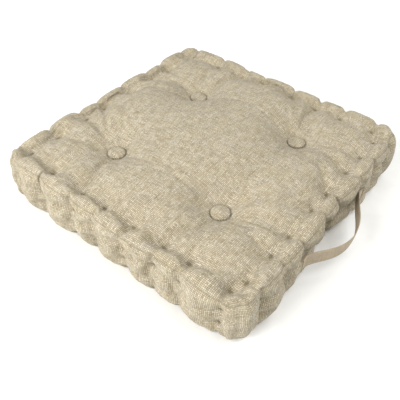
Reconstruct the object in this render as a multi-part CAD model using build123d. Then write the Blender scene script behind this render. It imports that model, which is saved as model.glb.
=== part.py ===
from build123d import *
import math
import os

# A square box floor cushion: a cloth cover of six panels with stitched rolls along its edges, a block of
# fibre, four tufts drawn down between covered buttons, and a tape handle on the front side.
# Millimetres, +Z up. The origin is the centre of the face that the cushion rests on; -Y is the handle side.

# Cushion
SIDE = 400.0
ROLL_RADIUS = 13.0
SEAM_HEIGHT = 63.0
CORNER_RADIUS = 30.0
BAND_RECESS = 4.6
CORE_RISE = 5.0
CROWN_HEIGHT = 84.0
CROWN_HALF = 166.0
CROWN_CORNER_RADIUS = 24.0
CROWN_EDGE_RADIUS = 12.0
BASE_LIFT = 0.8
BASE_EDGE_BEVEL = 7.0
BASE_CORNER_CUT = 21.0
CLOTH = 1.2
FILL_GAP = 0.1

# Tufts
TUFT_OFFSET = 88.0
TUFT_TOP_FLOOR = 61.0
TUFT_BASE_FLOOR = 20.0
TUFT_FLOOR_RADIUS = 13.5
TUFT_TOP_MOUTH_RADIUS = 34.0
TUFT_BASE_MOUTH_RADIUS = 26.0
EYE_HOLE_RADIUS = 3.8

# Covered buttons
BUTTON_RADIUS = 12.5
BUTTON_HEIGHT = 6.0
BUTTON_RIM = 1.6
BUTTON_CLOTH = 0.8
SHELL_WALL = 0.6
BACK_THICKNESS = 0.8
BACK_RISE = 0.3
EYE_WIRE_RADIUS = 0.7
EYE_RADIUS = 2.5
TWINE_RADIUS = 0.8
TWINE_GAP = 0.05

# Roll stitches
STITCHES_PER_SIDE = 8
STITCH_PITCH = 45.0
THREAD_RADIUS = 0.6
THREAD_HOLE_RADIUS = 0.7
STITCH_LENGTH = 9.0
STITCH_INSET = 30.0
STITCH_BAND_DROP = 11.0

# Handle tape
TAPE_WIDTH = 22.0
TAPE_THICKNESS = 1.4
HANDLE_HEIGHT = 38.0
HANDLE_HALF_SPAN = 66.0
HANDLE_REACH = 27.0
BELLY_SHIFT = -16.0
HINGE_HALF_SPAN = 36.0
TAB_LENGTH = 14.0
FOLD_GAP = 0.3
HANDLE_STITCHES = 5
HANDLE_STITCH_LENGTH = 2.6
HANDLE_STITCH_PITCH = 4.2
HANDLE_STITCH_INSET = 4.0
TAPE_SPANS = 14

ROLL_CENTRE = SIDE / 2 - ROLL_RADIUS
BASE_SEAM_HEIGHT = ROLL_RADIUS + BASE_LIFT
BAND_HALF = SIDE / 2 - BAND_RECESS
SPLIT_HALF = ROLL_CENTRE - ROLL_RADIUS / 2
BAND_FACE = -BAND_HALF
SIDES = {"front": 0.0, "right": 90.0, "back": 180.0, "left": 270.0}
TUFTS = {
    "front_left": (-TUFT_OFFSET, -TUFT_OFFSET),
    "front_right": (TUFT_OFFSET, -TUFT_OFFSET),
    "back_left": (-TUFT_OFFSET, TUFT_OFFSET),
    "back_right": (TUFT_OFFSET, TUFT_OFFSET),
}


def slab(half, corner, low, high):
    """A rounded square slab between two heights."""
    outline = RectangleRounded(2 * half, 2 * half, corner)
    return Pos(0, 0, low) * extrude(outline, high - low)


def roll(height, radius):
    """The stuffed roll that runs round the edge at one height."""
    path = RectangleRounded(2 * ROLL_CENTRE, 2 * ROLL_CENTRE, CORNER_RADIUS - ROLL_RADIUS).wire()
    path = Pos(0, 0, height) * path
    section = Plane(origin=path @ 0, z_dir=path % 0) * Circle(radius)
    return sweep(section, path=path)


def crown(inset):
    """The padded field inside the upper roll, softened where it turns over."""
    field = slab(CROWN_HALF - inset, CROWN_CORNER_RADIUS - inset, SEAM_HEIGHT, CROWN_HEIGHT - inset)
    return fillet(field.faces().sort_by(Axis.Z)[-1].edges(), CROWN_EDGE_RADIUS)


def base_field(inset):
    """The field that the cushion rests on, all flat faces with few corners, so that it stands steady."""
    shrink = inset * (2 - math.sqrt(2))
    half = CROWN_HALF - inset
    short = half - (BASE_CORNER_CUT - shrink)
    corners = [(half, short), (short, half)]
    corners += [(-y, x) for x, y in corners]
    corners += [(-x, -y) for x, y in corners]
    field = Pos(0, 0, inset) * extrude(Polygon(*corners, align=None), BASE_SEAM_HEIGHT - inset)
    return chamfer(field.faces().sort_by(Axis.Z)[0].edges(), BASE_EDGE_BEVEL - shrink)


def tuft_cone(floor, mouth_radius, face, inset):
    """The dimple of one tuft, from its floor out to the face of the cushion."""
    down = floor - inset if face > floor else floor + inset
    depth = abs(face - down)
    turn = Rot(0, 0, 0) if face > floor else Rot(180, 0, 0)
    on_floor = (Align.CENTER, Align.CENTER, Align.MIN)
    cone = Cone(TUFT_FLOOR_RADIUS + inset, mouth_radius + inset, depth, align=on_floor)
    return Pos(0, 0, down) * turn * cone


def cushion_body(inset):
    """The stuffed form of the whole cushion, shrunk by an inset."""
    core_low = BASE_SEAM_HEIGHT - CORE_RISE + inset
    core_high = SEAM_HEIGHT + CORE_RISE - inset
    body = slab(ROLL_CENTRE, CORNER_RADIUS - ROLL_RADIUS, core_low, core_high)
    body += slab(BAND_HALF - inset, CORNER_RADIUS - BAND_RECESS - inset, BASE_SEAM_HEIGHT, SEAM_HEIGHT)
    body += roll(SEAM_HEIGHT, ROLL_RADIUS - inset)
    body += roll(BASE_SEAM_HEIGHT, ROLL_RADIUS - inset)
    body += crown(inset)
    body += base_field(inset)
    for x, y in TUFTS.values():
        body -= Pos(x, y, 0) * tuft_cone(TUFT_TOP_FLOOR, TUFT_TOP_MOUTH_RADIUS, CROWN_HEIGHT, inset)
        body -= Pos(x, y, 0) * tuft_cone(TUFT_BASE_FLOOR, TUFT_BASE_MOUTH_RADIUS, 0, inset)
    return body


def rod(start, end, radius):
    """A straight round rod between two points."""
    axis = Vector(*end) - Vector(*start)
    return extrude(Plane(origin=start, z_dir=axis) * Circle(radius), axis.length)


def stitch_ends(upper):
    """Where one roll stitch shows on the panel and on the boxing of the front side."""
    turn = 1 if upper else -1
    seam = SEAM_HEIGHT if upper else BASE_SEAM_HEIGHT
    panel_end = (0, STITCH_INSET - SIDE / 2, seam + turn * (CORE_RISE + THREAD_RADIUS))
    band_end = (0, BAND_FACE - THREAD_RADIUS, seam - turn * STITCH_BAND_DROP)
    return panel_end, band_end


def stitch(upper):
    """One stitch: a bar of thread on the panel, one on the boxing, and the buried length between."""
    panel_end, band_end = stitch_ends(upper)
    thread = rod(panel_end, band_end, THREAD_RADIUS)
    for centre in (panel_end, band_end):
        thread += Pos(*centre) * Rot(0, 90, 0) * Cylinder(THREAD_RADIUS, STITCH_LENGTH)
    return thread


def stitch_hole(upper):
    """The hole that a stitch needs through the cloth and the fibre."""
    panel_end, band_end = stitch_ends(upper)
    return rod(panel_end, band_end, THREAD_HOLE_RADIUS)


def along_side(shape, turn):
    """A shape repeated at the stitch pitch along one side."""
    middle = (STITCHES_PER_SIDE - 1) / 2
    places = [(k - middle) * STITCH_PITCH for k in range(STITCHES_PER_SIDE)]
    return [Rot(0, 0, turn) * Pos(x, 0, 0) * shape for x in places]


def round_edge(shape):
    """A shape repeated along all four sides."""
    return [copy for turn in SIDES.values() for copy in along_side(shape, turn)]


def side_sector(turn):
    """The wedge of space that belongs to one side of the cushion."""
    reach = SIDE
    wedge = Polygon((0, 0), (-reach, -reach), (reach, -reach), align=None)
    return Rot(0, 0, turn) * extrude(wedge, CROWN_HEIGHT)


def button_profile(grow, floor):
    """A solid domed button that stands on a given floor, shrunk by a given amount."""
    radius = BUTTON_RADIUS - grow
    top = BUTTON_HEIGHT - grow
    outline = Polyline((radius, BUTTON_RIM), (radius, floor), (0, floor), (0, top))
    dome = ThreePointArc((0, top), (radius * 0.62, BUTTON_RIM + (top - BUTTON_RIM) * 0.72), (radius, BUTTON_RIM))
    return revolve(Plane.XZ * make_face([*outline.edges(), dome]), Axis.Z)


def button_parts():
    """The cloth cover, metal shell and eyed back plate of a button that sits on z = 0 and faces up."""
    shell_outer = button_profile(BUTTON_CLOTH, BACK_RISE)
    shell_inner = button_profile(BUTTON_CLOTH + SHELL_WALL, BACK_RISE)
    cover = button_profile(0, 0) - button_profile(BUTTON_CLOTH, 0)
    shell = shell_outer - shell_inner
    plate_radius = BUTTON_RADIUS - BUTTON_CLOTH - SHELL_WALL
    plate = Pos(0, 0, BACK_RISE + BACK_THICKNESS / 2) * Cylinder(plate_radius, BACK_THICKNESS)
    eye_centre = BACK_RISE - EYE_RADIUS + EYE_WIRE_RADIUS
    eye = Pos(0, 0, eye_centre) * Rot(0, 90, 0) * Torus(EYE_RADIUS, EYE_WIRE_RADIUS)
    return {"cover": cover, "shell": shell, "back": plate + eye}


def eye_wire_depth():
    """How far the lowest wire of the eye lies below the button's seat."""
    return 2 * EYE_RADIUS - BACK_RISE - EYE_WIRE_RADIUS


def twine():
    """A loop of twine through a top eye and a bottom eye."""
    bend = EYE_WIRE_RADIUS + TWINE_GAP + TWINE_RADIUS
    high = TUFT_TOP_FLOOR - eye_wire_depth()
    low = TUFT_BASE_FLOOR + eye_wire_depth()
    loop = SlotCenterToCenter(high - low, 2 * bend, rotation=90).wire()
    path = Pos(0, 0, (high + low) / 2) * (Plane.XZ * loop)
    section = Plane(origin=path @ 0, z_dir=path % 0) * Circle(TWINE_RADIUS)
    return sweep(section, path=path)


def handle_line():
    """The middle line of the tape, seen from above: out from one end, round its belly and back."""
    lead = BAND_FACE - TAPE_THICKNESS / 2 - FOLD_GAP - TAPE_THICKNESS
    shape = [
        (-HANDLE_HALF_SPAN, 0.0),
        (-0.82 * HANDLE_HALF_SPAN, 0.16),
        (-0.58 * HANDLE_HALF_SPAN, 0.58),
        (BELLY_SHIFT, 1.0),
        (0.26 * HANDLE_HALF_SPAN, 0.86),
        (0.58 * HANDLE_HALF_SPAN, 0.5),
        (0.82 * HANDLE_HALF_SPAN, 0.15),
        (HANDLE_HALF_SPAN, 0.0),
    ]
    points = [(x, lead - HANDLE_REACH * out) for x, out in shape]
    return Spline(*points, tangents=[(1, 0), (1, 0)])


def tape_outline():
    """The tape seen from above: its two faces, half a thickness each side of its middle line, and its ends."""
    line = handle_line()
    steps = [k / TAPE_SPANS for k in range(TAPE_SPANS + 1)]
    faces = []
    for side in (-0.5, 0.5):
        points = [line @ t + (line % t).rotate(Axis.Z, 90) * side * TAPE_THICKNESS for t in steps]
        faces.append(Spline(*points, tangents=[(1, 0), (1, 0)]))
    inner, outer = faces
    return make_face([inner, outer, Line(inner @ 0, outer @ 0), Line(inner @ 1, outer @ 1)])


def tape_between(start, end):
    """A stretch of the handle tape between two values of x, standing on edge."""
    band = Pos(0, 0, HANDLE_HEIGHT - TAPE_WIDTH / 2) * extrude(tape_outline(), TAPE_WIDTH)
    window = Pos((start + end) / 2, -SIDE / 2, HANDLE_HEIGHT) * Box(end - start, SIDE / 2, 2 * TAPE_WIDTH)
    return band & window


def handle_end(outward):
    """The sewn end of the tape, turned under against the boxing."""
    face = BAND_FACE - FOLD_GAP / 2
    under = face - TAPE_THICKNESS / 2
    over = BAND_FACE - FOLD_GAP - 1.5 * TAPE_THICKNESS
    fold_x = outward * (HANDLE_HALF_SPAN + TAB_LENGTH)
    middle_x = outward * (HANDLE_HALF_SPAN + TAB_LENGTH / 2)
    layer = Box(TAB_LENGTH, TAPE_THICKNESS, TAPE_WIDTH)
    end = Pos(middle_x, under, HANDLE_HEIGHT) * layer
    end += Pos(middle_x, over, HANDLE_HEIGHT) * layer
    fold_depth = abs(over - under) + TAPE_THICKNESS
    end += Pos(fold_x, (over + under) / 2, HANDLE_HEIGHT) * Box(TAPE_THICKNESS, fold_depth, TAPE_WIDTH)
    return end


def handle_stitching():
    """A row of thread on the face of each sewn end."""
    face = BAND_FACE - FOLD_GAP - 2 * TAPE_THICKNESS
    middle = (HANDLE_STITCHES - 1) / 2
    stitches = []
    for outward in (-1, 1):
        x = outward * (HANDLE_HALF_SPAN + TAB_LENGTH - HANDLE_STITCH_INSET)
        for k in range(HANDLE_STITCHES):
            height = HANDLE_HEIGHT + (k - middle) * HANDLE_STITCH_PITCH
            bar = Cylinder(THREAD_RADIUS, HANDLE_STITCH_LENGTH)
            stitches.append(Pos(x, face - THREAD_RADIUS, height) * bar)
    return Compound(children=stitches)


def save(node, shape):
    """Write one piece to its own file."""
    export_step(shape, f"parts/{node}.step")


def save_cover_and_fill():
    """Write the six panels of the cover, the fibre inside them and the roll stitches."""
    cover = cushion_body(0) - cushion_body(CLOTH)
    base = Pos(0, 0, BASE_SEAM_HEIGHT)
    boxing_zone = base * extrude(Rectangle(SIDE + 2, SIDE + 2), SEAM_HEIGHT - BASE_SEAM_HEIGHT)
    boxing_zone -= base * extrude(Rectangle(2 * SPLIT_HALF, 2 * SPLIT_HALF), SEAM_HEIGHT)
    middle = (SEAM_HEIGHT + BASE_SEAM_HEIGHT) / 2
    upper_zone = Pos(0, 0, middle) * extrude(Rectangle(SIDE + 2, SIDE + 2), CROWN_HEIGHT)
    boxing = cover & boxing_zone
    panels = cover - boxing_zone
    eye_holes = [Pos(x, y, middle) * Cylinder(EYE_HOLE_RADIUS, 2 * CROWN_HEIGHT) for x, y in TUFTS.values()]
    holes = {upper: round_edge(stitch_hole(upper)) for upper in (True, False)}
    save("top_panel", (panels & upper_zone) - eye_holes - holes[True])
    save("bottom_panel", (panels - upper_zone) - eye_holes - holes[False])
    for side, turn in SIDES.items():
        piece = boxing & side_sector(turn)
        piece -= along_side(stitch_hole(True), turn) + along_side(stitch_hole(False), turn)
        save(f"{side}_boxing", piece)
    fill = cushion_body(CLOTH + FILL_GAP) - eye_holes - holes[True] - holes[False]
    save("fibre_fill", fill)
    save("top_roll_stitches", Compound(children=round_edge(stitch(True))))
    save("bottom_roll_stitches", Compound(children=round_edge(stitch(False))))


def save_tufts():
    """Write the buttons and twine of the four tufts."""
    pieces = button_parts()
    for name, (x, y) in TUFTS.items():
        for piece, shape in pieces.items():
            save(f"top_button_{piece}_{name}", Pos(x, y, TUFT_TOP_FLOOR) * shape)
            save(f"bottom_button_{piece}_{name}", Pos(x, y, TUFT_BASE_FLOOR) * Rot(180, 0, 0) * shape)
        save(f"tuft_twine_{name}", Pos(x, y, 0) * twine())


def save_handle():
    """Write the handle tape in the stretches that move, bend and stay, and its stitching."""
    gap = FOLD_GAP / 2
    save("handle_loop", tape_between(-HINGE_HALF_SPAN + gap, HINGE_HALF_SPAN - gap))
    save("handle_left_stretch", tape_between(-HANDLE_HALF_SPAN, -HINGE_HALF_SPAN - gap))
    save("handle_right_stretch", tape_between(HINGE_HALF_SPAN + gap, HANDLE_HALF_SPAN))
    save("handle_left_end", handle_end(-1))
    save("handle_right_end", handle_end(1))
    save("handle_stitching", handle_stitching())


os.makedirs("parts", exist_ok=True)
save_cover_and_fill()
save_tufts()
save_handle()
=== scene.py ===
"""Tufted box floor cushion: a sewn linen cover stuffed by cloth simulation, with buttons and a tape handle."""
import logging
import math
from collections.abc import Sequence
from dataclasses import dataclass, field
from enum import Enum

import bpy
import numpy as np
from mathutils import Matrix, Vector
from mathutils.bvhtree import BVHTree


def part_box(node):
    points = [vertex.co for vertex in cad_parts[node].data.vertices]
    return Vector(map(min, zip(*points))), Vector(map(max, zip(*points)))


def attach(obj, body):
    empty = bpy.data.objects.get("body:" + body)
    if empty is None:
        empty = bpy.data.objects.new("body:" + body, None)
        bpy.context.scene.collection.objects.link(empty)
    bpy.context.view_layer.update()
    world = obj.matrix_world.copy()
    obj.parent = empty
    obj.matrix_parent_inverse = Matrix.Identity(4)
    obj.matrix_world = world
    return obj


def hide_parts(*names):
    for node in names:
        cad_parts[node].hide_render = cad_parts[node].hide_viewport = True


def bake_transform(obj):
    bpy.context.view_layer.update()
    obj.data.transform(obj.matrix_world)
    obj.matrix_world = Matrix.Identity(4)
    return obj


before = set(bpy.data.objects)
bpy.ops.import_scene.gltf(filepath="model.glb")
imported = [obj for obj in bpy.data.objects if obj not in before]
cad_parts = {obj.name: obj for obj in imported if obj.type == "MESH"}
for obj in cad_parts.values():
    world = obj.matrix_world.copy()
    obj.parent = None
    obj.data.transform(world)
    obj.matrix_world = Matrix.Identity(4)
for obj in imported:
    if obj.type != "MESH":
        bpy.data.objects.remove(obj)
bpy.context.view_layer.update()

LOG = logging.getLogger("floor_cushion")
MM = 0.001
TINY = 1e-9  # keeps a division clear of nought
MATT = 0.2  # how much every matt finish reflects
CUT_MAP = "cloth"
# the vertex attribute that holds the painted shade in creases, seams, stitch dimples and round the buttons
CREASE_SHADE = "crease_shade"

Material = bpy.types.Material
Mesh = bpy.types.Mesh
Node = bpy.types.Node
Piece = bpy.types.Object
Socket = bpy.types.NodeSocket
Tree = bpy.types.NodeTree


class Level(Enum):
    """The two faces of the cushion, by the sign of their outward direction."""

    TOP = 1
    BOTTOM = -1


class Side(Enum):
    """The four sides, by quarter turns from the handle side."""

    FRONT = 0
    RIGHT = 1
    BACK = 2
    LEFT = 3


PANELS = ["top_panel", "bottom_panel"] + [f"{side.name.lower()}_boxing" for side in Side]
TAPE_ENDS = ("handle_left_end", "handle_right_end")


def linear(hex_colour: str) -> tuple[float, float, float, float]:
    """Turn an sRGB hex colour to linear.

    Args:
        hex_colour: six hex digits after a hash.

    Returns:
        Red, green, blue and an alpha of one.
    """
    parts = [int(hex_colour[k:k + 2], 16) / 255 for k in (1, 3, 5)]
    return (*[c / 12.92 if c <= 0.04045 else ((c + 0.055) / 1.055) ** 2.4 for c in parts], 1.0)


def add_node(tree: Tree, kind: str, inputs: dict | None = None, **settings) -> Node:
    """Add a node with its settings, values and links.

    Args:
        tree: the node tree.
        kind: the node's type name.
        inputs: a value or an output socket for each input, by name or index.
        settings: the node's own properties.

    Returns:
        The new node.
    """
    node = tree.nodes.new(kind)
    for name, value in settings.items():
        setattr(node, name, value)
    for key, value in (inputs or {}).items():
        if isinstance(value, Socket):
            tree.links.new(value, node.inputs[key])
        else:
            node.inputs[key].default_value = value
    return node


def calculate(tree: Tree, operation: str, *values: float | Socket) -> Socket:
    """Add a maths node and give its result."""
    return add_node(tree, "ShaderNodeMath", dict(enumerate(values)), operation=operation).outputs[0]


def noise(tree: Tree, where: Socket, size_mm: float, **inputs: float) -> Node:
    """Add a noise whose patches are about a given size."""
    return add_node(tree, "ShaderNodeTexNoise", {"Vector": where, "Scale": 1 / (size_mm * MM), **inputs})


def mix_colours(tree: Tree, factor: float | Socket, first: Socket | tuple, second: Socket | tuple,
                **settings: str) -> Socket:
    """Add a mix of two colours and give its result."""
    inputs = {"Factor": factor, 6: first, 7: second}
    return add_node(tree, "ShaderNodeMix", inputs, data_type="RGBA", **settings).outputs[2]


def colour_ramp(tree: Tree, value: Socket, stops: dict[float, str]) -> Socket:
    """Turn a value to a colour.

    Args:
        tree: the material's tree.
        value: the value, about nought to one.
        stops: hex colours by position, the two ends first.

    Returns:
        The colour.
    """
    ramp = add_node(tree, "ShaderNodeValToRGB", {0: value})
    elements = ramp.color_ramp.elements
    for number, (position, hex_colour) in enumerate(stops.items()):
        stop = elements[number] if number < 2 else elements.new(position)
        stop.position = position
        stop.color = linear(hex_colour)
    return ramp.outputs[0]


def new_material(name: str) -> tuple[Material, Tree]:
    """Make an empty material.

    Args:
        name: the material's name.

    Returns:
        The material and its node tree.
    """
    material = bpy.data.materials.new(name)
    material.use_nodes = True
    material.node_tree.nodes.clear()
    return material, material.node_tree


def end_with_shader(tree: Tree, inputs: dict) -> None:
    """End a material's tree with the standard shader."""
    shader = add_node(tree, "ShaderNodeBsdfPrincipled", inputs)
    add_node(tree, "ShaderNodeOutputMaterial", {"Surface": shader.outputs[0]})


def make_mesh(name: str, points: np.ndarray, faces: Sequence, cut: Sequence | None = None) -> Mesh:
    """Make a smooth mesh, with its cut coordinates as a UV map if it has them.

    Args:
        name: the mesh's name.
        points: one row for each vertex, in metres.
        faces: vertex numbers of each face, anticlockwise from outside.
        cut: a pair of coordinates on the flat cloth for each corner of each face.

    Returns:
        The new mesh.
    """
    mesh = bpy.data.meshes.new(name)
    mesh.from_pydata(np.asarray(points, float).tolist(), [], [list(map(int, f)) for f in faces])
    if cut is not None:
        layer = mesh.uv_layers.new(name=CUT_MAP)
        layer.data.foreach_set("uv", np.asarray(cut, np.float32).ravel())
    mesh.polygons.foreach_set("use_smooth", [True] * len(mesh.polygons))
    mesh.update()
    return mesh


def read_rows(collection: bpy.types.bpy_prop_collection, name: str, width: int) -> np.ndarray:
    """Read one property of every member of a mesh's collection.

    Args:
        collection: the mesh's vertices, loops or the like.
        name: the property's name.
        width: how many numbers it has.

    Returns:
        One row of numbers for each member.
    """
    rows = np.empty(len(collection) * width)
    collection.foreach_get(name, rows)
    return rows.reshape(-1, width)


def paint_crease_shade(mesh: Mesh, values: np.ndarray) -> None:
    """Store the painted shade of each vertex, from nought to one: how far its colour is darkened for the shade in a
    crease.
    """
    attribute = mesh.attributes.new(CREASE_SHADE, "FLOAT", "POINT")
    attribute.data.foreach_set("value", np.asarray(values, np.float32))


def bump_curve(distance: np.ndarray, width: float) -> np.ndarray:
    """A smooth bump of height one that falls away with distance."""
    return np.exp(-((distance / width) ** 2))


def add_object(name: str, mesh: Mesh, material: Material | None = None) -> Piece:
    """Put a mesh in the scene at the origin.

    Args:
        name: the piece's name.
        mesh: its mesh.
        material: its material, if it is to be seen.

    Returns:
        The piece.
    """
    piece = bpy.data.objects.new(name, mesh)
    bpy.context.scene.collection.objects.link(piece)
    if material is not None:
        piece.data.materials.clear()
        piece.data.materials.append(material)
    return piece


def evaluated_mesh(piece: Piece) -> Mesh:
    """A new plain mesh of an object with its modifiers applied.

    Args:
        piece: the object.

    Returns:
        The mesh.
    """
    depsgraph = bpy.context.evaluated_depsgraph_get()
    depsgraph.update()
    return bpy.data.meshes.new_from_object(piece.evaluated_get(depsgraph), depsgraph=depsgraph)


def place(piece: Piece, body: str, slot: str, *nodes: str) -> Piece:
    """Let a finished piece ride on a body and stand for its CAD nodes.

    Args:
        piece: the finished piece.
        body: the body that carries it.
        slot: not used.
        nodes: the CAD nodes that it replaces.

    Returns:
        The same piece.
    """
    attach(piece, body)
    if nodes:
        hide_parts(*nodes)
    LOG.info("%s: %d faces", piece.name, len(piece.data.polygons))
    return piece


def button_seat(node: str) -> tuple[np.ndarray, Level]:
    """Find a covered button.

    Args:
        node: its cover's CAD node.

    Returns:
        The middle of its back, and the face that it lies on.
    """
    low, high = (Vector(corner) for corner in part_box(node))
    level = Level.TOP if node.startswith("top") else Level.BOTTOM
    seat = low.z if level is Level.TOP else high.z
    return np.array(((low.x + high.x) / 2, (low.y + high.y) / 2, seat)), level


def spline_through(points: Sequence[Sequence[float]], per_span: int) -> np.ndarray:
    """Sample a smooth curve that passes through points.

    Args:
        points: the points, of any dimension.
        per_span: samples for each span.

    Returns:
        The samples, one row each, ends included.
    """
    knots = np.asarray(points, float)
    padded = np.vstack([2 * knots[:1] - knots[1:2], knots, 2 * knots[-1:] - knots[-2:-1]])
    t = np.linspace(0, 1, per_span, endpoint=False)[:, None]
    rows = []
    for a, b, c, d in zip(padded, padded[1:], padded[2:], padded[3:]):
        bend = (2 * a - 5 * b + 4 * c - d) * t**2
        rows.append(0.5 * (2 * b + (c - a) * t + bend + (3 * b - a - 3 * c + d) * t**3))
    return np.vstack([*rows, knots[-1:]])


@dataclass(frozen=True)
class WovenFinish:
    """Plain woven cloth: yarns over and under each other, each yarn with its own slubs, with shade painted into the
    pits where they cross.

    Real linen yarns are about 1.2 mm apart; they are drawn coarser so that they show at arm's length.
    """

    name: str
    dark: str
    middle: str
    light: str
    # colour of the painted shade in the creases
    crease_shade: str
    yarn_mm: float
    slub_mm: float = 16.0
    wander: float = 0.5
    slubs: float = 1.0
    pit_shade: float = 0.6
    relief_mm: float = 0.5
    cool_tint: str = "#fbfbff"
    warm_tint: str = "#fffbee"
    roughness: float = 0.92
    sheen: float = 0.1
    sheen_roughness: float = 0.6
    first_yarn: float = 500.0
    seed_step: float = 7.31
    drift_mm: float = 9.0
    cloud_mm: float = 30.0
    clouds: float = 0.12
    patch_mm: float = 18.0
    patch_contrast: float = 1.6
    patch_start: float = -0.55
    under_height: float = 0.45
    mean_height: float = 0.62
    tone_margin: float = 0.1
    slub_relief: float = 0.6
    slub_seeds: tuple[float, float] = (3.0, 8.0)

    def build(self) -> Material:
        """Build the material from the cloth's cut coordinates.

        Returns:
            The material.
        """
        material, tree = new_material(self.name)
        cut = add_node(tree, "ShaderNodeUVMap", uv_map=CUT_MAP).outputs["UV"]
        axes = add_node(tree, "ShaderNodeSeparateXYZ", {0: cut}).outputs
        drift = noise(tree, cut, self.drift_mm, Detail=2.0)
        drift_axes = add_node(tree, "ShaderNodeSeparateColor", {0: drift.outputs["Color"]}).outputs
        yarns = [self.yarn(tree, axes[k], axes[1 - k], drift_axes[k], self.slub_seeds[k]) for k in (0, 1)]
        turns = calculate(tree, "ADD", yarns[0]["count"], yarns[1]["count"])
        over = calculate(tree, "FLOORED_MODULO", turns, 2.0)
        heights = []
        for upper, lower in (yarns, yarns[::-1]):
            bend = calculate(tree, "MULTIPLY_ADD", lower["round"], 1 - self.under_height, self.under_height)
            heights.append(calculate(tree, "MULTIPLY", upper["round"], bend))
        height = self.choose(tree, over, heights)
        slub = self.choose(tree, over, [y["slub"] for y in yarns])
        clouds = noise(tree, cut, self.cloud_mm, Detail=3.0).outputs[0]
        tone = calculate(tree, "MULTIPLY_ADD", slub, self.slubs, 0.5 - 0.5 * self.slubs)
        # Painted shade in the pits where the yarns cross, darker as the weave's height falls; the clouds are the
        # cloth's own uneven tone.
        for value, share, mean in ((height, self.pit_shade, self.mean_height), (clouds, self.clouds, 0.5)):
            tone = calculate(tree, "MULTIPLY_ADD", value, share, calculate(tree, "SUBTRACT", tone, mean * share))
        yarn_colour = colour_ramp(
            tree, tone, {self.tone_margin: self.dark, 1 - self.tone_margin: self.light, 0.5: self.middle}
        )
        # Painted shade: a vertex attribute mixes the cloth towards its shade colour in seams, stitch dimples and round
        # the button rims.
        crease_shade = add_node(tree, "ShaderNodeAttribute", attribute_name=CREASE_SHADE).outputs["Fac"]
        patches = noise(tree, cut, self.patch_mm, Detail=2.0).outputs[0]
        golden = calculate(tree, "MULTIPLY_ADD", patches, self.patch_contrast, self.patch_start)
        tint = mix_colours(tree, golden, linear(self.cool_tint), linear(self.warm_tint))
        dyed = mix_colours(tree, 1.0, yarn_colour, tint, blend_type="MULTIPLY")
        colour = mix_colours(tree, crease_shade, dyed, linear(self.crease_shade))
        relief = calculate(
            tree, "MULTIPLY", calculate(tree, "MULTIPLY_ADD", slub, self.slub_relief, 0.5), height
        )
        bump = add_node(tree, "ShaderNodeBump", {"Height": relief, "Distance": self.relief_mm * MM, "Strength": 1.0})
        end_with_shader(tree, {
            "Base Color": colour, "Normal": bump.outputs[0], "Roughness": self.roughness, "Sheen Weight": self.sheen,
            "Sheen Roughness": self.sheen_roughness, "Specular IOR Level": MATT,
        })
        return material

    def choose(self, tree: Tree, over: Socket,
               pair: Sequence[Socket]) -> Socket:
        """The value of whichever yarn lies on top."""
        return add_node(tree, "ShaderNodeMix", {"Factor": over, 2: pair[0], 3: pair[1]}, data_type="FLOAT").outputs[0]

    def yarn(self, tree: Tree, across: Socket, along: Socket,
             drift: Socket, seed: float) -> dict[str, Socket]:
        """One set of parallel yarns.

        Args:
            tree: the material's tree.
            across: the coordinate that counts the yarns.
            along: the coordinate that runs along them.
            drift: a noise that lets them wander.
            seed: sets this set's slubs apart from the other's.

        Returns:
            Sockets for the yarn's number, its rounded height and its slub tone.
        """
        counted = calculate(tree, "MULTIPLY_ADD", across, 1 / (self.yarn_mm * MM), self.first_yarn)
        moved = calculate(tree, "MULTIPLY_ADD", drift, self.wander, counted)
        count = calculate(tree, "FLOOR", moved)
        centred = calculate(tree, "MULTIPLY_ADD", calculate(tree, "FRACT", moved), 2.0, -1.0)
        rounded = calculate(tree, "SUBTRACT", 1.0, calculate(tree, "MULTIPLY", centred, centred))
        lengthwise = calculate(tree, "MULTIPLY", along, 1 / (self.slub_mm * MM))
        own = calculate(tree, "MULTIPLY", count, self.seed_step)
        where = add_node(tree, "ShaderNodeCombineXYZ", {0: lengthwise, 1: own, 2: seed})
        slub = add_node(tree, "ShaderNodeTexNoise", {"Vector": where.outputs[0], "Scale": 1.0, "Detail": 3.0})
        return {"count": count, "round": rounded, "slub": slub.outputs[0]}


@dataclass(frozen=True)
class SpunFinish:
    """Spun fibre or thread: a soft matt surface with a fine twist or tangle."""

    name: str
    dark: str
    light: str
    grain_mm: float
    roughness: float = 0.9
    relief_mm: float = 0.2
    tone_margin: float = 0.3
    tangle: float = 0.6

    def build(self) -> Material:
        """Build the material on the piece's own coordinates.

        Returns:
            The material.
        """
        material, tree = new_material(self.name)
        here = add_node(tree, "ShaderNodeTexCoord").outputs["Object"]
        grain = noise(tree, here, self.grain_mm, Detail=4.0, Distortion=self.tangle).outputs[0]
        colour = colour_ramp(tree, grain, {self.tone_margin: self.dark, 1 - self.tone_margin: self.light})
        bump = add_node(tree, "ShaderNodeBump", {"Height": grain, "Distance": self.relief_mm * MM})
        end_with_shader(tree, {
            "Base Color": colour, "Normal": bump.outputs[0], "Roughness": self.roughness, "Specular IOR Level": MATT,
        })
        return material


@dataclass(frozen=True)
class SheetMetalFinish:
    """Pressed sheet metal with faint drawing marks."""

    name: str
    colour: str
    roughness: float
    mark_mm: float = 1.5
    spread: float = 0.08

    def build(self) -> Material:
        """Build the material on the piece's own coordinates.

        Returns:
            The material.
        """
        material, tree = new_material(self.name)
        here = add_node(tree, "ShaderNodeTexCoord").outputs["Object"]
        marks = noise(tree, here, self.mark_mm, Detail=3.0).outputs[0]
        ends = {3: self.roughness - self.spread, 4: self.roughness + self.spread}
        rough = add_node(tree, "ShaderNodeMapRange", {0: marks, **ends}).outputs[0]
        end_with_shader(tree, {"Base Color": linear(self.colour), "Metallic": 1.0, "Roughness": rough})
        return material


# Each cloth's fourth colour is the painted shade of its creases.
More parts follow.
